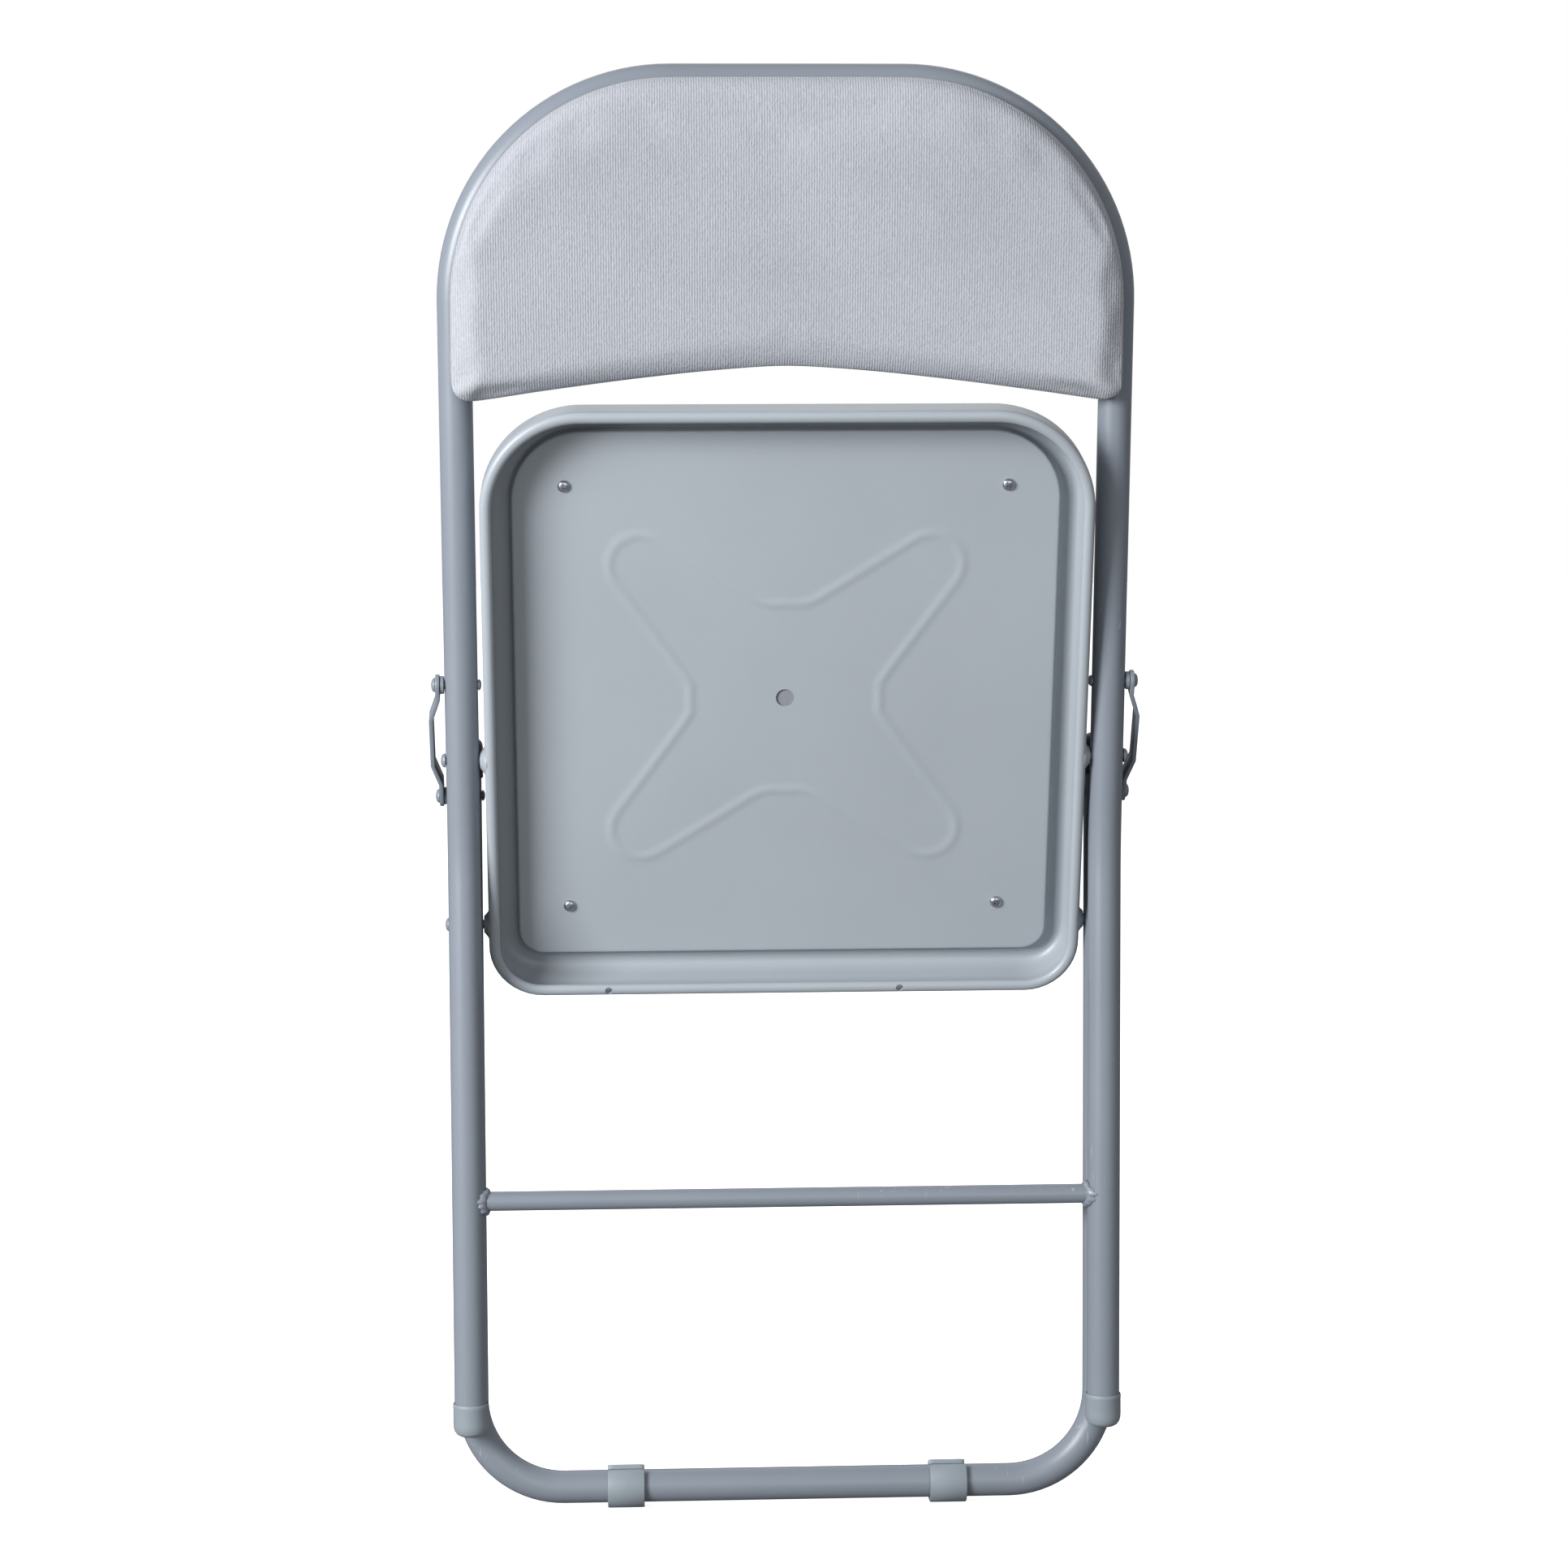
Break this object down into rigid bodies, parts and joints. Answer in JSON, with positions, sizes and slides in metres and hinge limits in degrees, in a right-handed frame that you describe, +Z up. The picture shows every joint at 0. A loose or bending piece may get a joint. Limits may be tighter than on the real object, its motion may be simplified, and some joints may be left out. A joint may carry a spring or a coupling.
{
  "type": "folding chair",
  "caption": "Folding chair of bent steel tube with a pressed pan seat, padded velvet seat and backrest, side links and plastic feet, stored folded flat.",
  "frame": {"origin": "on the floor, under the middle of the folded chair's bounding box", "axes": "+Z up along the legs of the folded chair, -Y to the chair's front, +X across its width"},
  "size_m": [0.4718, 0.1763, 0.9622],
  "materials": {
    "frame_paint": "satin powder coat",
    "velvet": "short ribbed pile",
    "zinc_screw": "bright zinc",
    "plywood": "raw",
    "board_lining": "plywood under grey lining cloth",
    "foot_plastic": "moulded",
    "cap_plastic": "moulded"
  },
  "bodies": {
    "front_frame": {"front_frame_tube": "frame_paint", "front_crossbar": "frame_paint", "front_foot_left": "foot_plastic", "front_foot_right": "foot_plastic", "backrest_board": "plywood", "backrest_pad": "velvet", "backrest_screw_1": "zinc_screw", "backrest_screw_2": "zinc_screw", "backrest_screw_3": "zinc_screw", "backrest_screw_4": "zinc_screw", "seat_pivot_rivet_left": "frame_paint", "seat_pivot_rivet_right": "frame_paint", "link_upper_rivet_left": "frame_paint", "link_upper_rivet_right": "frame_paint", "link_upper_spacer_left": "frame_paint", "link_upper_spacer_right": "frame_paint"},
    "seat": {"seat_pan": "frame_paint", "seat_board": "board_lining", "seat_pad": "velvet", "seat_screw_1": "zinc_screw", "seat_screw_2": "zinc_screw", "seat_screw_3": "zinc_screw", "seat_screw_4": "zinc_screw"},
    "rear_frame": {"rear_frame_tube": "frame_paint", "rear_foot_left": "foot_plastic", "rear_foot_right": "foot_plastic", "rear_cap_left": "cap_plastic", "rear_cap_right": "cap_plastic", "rear_pivot_rivet_left": "frame_paint", "rear_pivot_rivet_right": "frame_paint", "rear_link_rivet_tail_left": "frame_paint", "rear_link_rivet_tail_right": "frame_paint"},
    "left_link": {"link_left": "frame_paint", "link_lower_spacer_left": "frame_paint", "link_lower_rivet_left": "frame_paint"},
    "right_link": {"link_right": "frame_paint", "link_lower_spacer_right": "frame_paint", "link_lower_rivet_right": "frame_paint"}
  },
  "joints": [
    {"name": "seat_fold", "type": "hinge", "parent": "front_frame", "child": "seat", "pos_m": [0, 0.00278, 0.51402], "axis": [1, 0, 0], "range_deg": [0, 107.5]},
    {"name": "rear_leg_fold", "type": "hinge", "parent": "seat", "child": "rear_frame", "pos_m": [0, 0.03565, 0.401], "axis": [1, 0, 0], "range_deg": [-61.3, 0]},
    {"name": "left_link_swing", "type": "hinge", "parent": "front_frame", "child": "left_link", "pos_m": [-0.2295, -0.00474, 0.56436], "axis": [1, 0, 0], "range_deg": [0, 122.6]},
    {"name": "right_link_swing", "type": "hinge", "parent": "front_frame", "child": "right_link", "pos_m": [0.2295, -0.00474, 0.56436], "axis": [1, 0, 0], "range_deg": [0, 122.6]}
  ],
  "couplings": [
    {"joint": "rear_leg_fold", "follows": "seat_fold", "ratio": -0.56981},
    {"joint": "left_link_swing", "follows": "seat_fold", "ratio": 1.1403},
    {"joint": "right_link_swing", "follows": "seat_fold", "ratio": 1.1403}
  ]
}
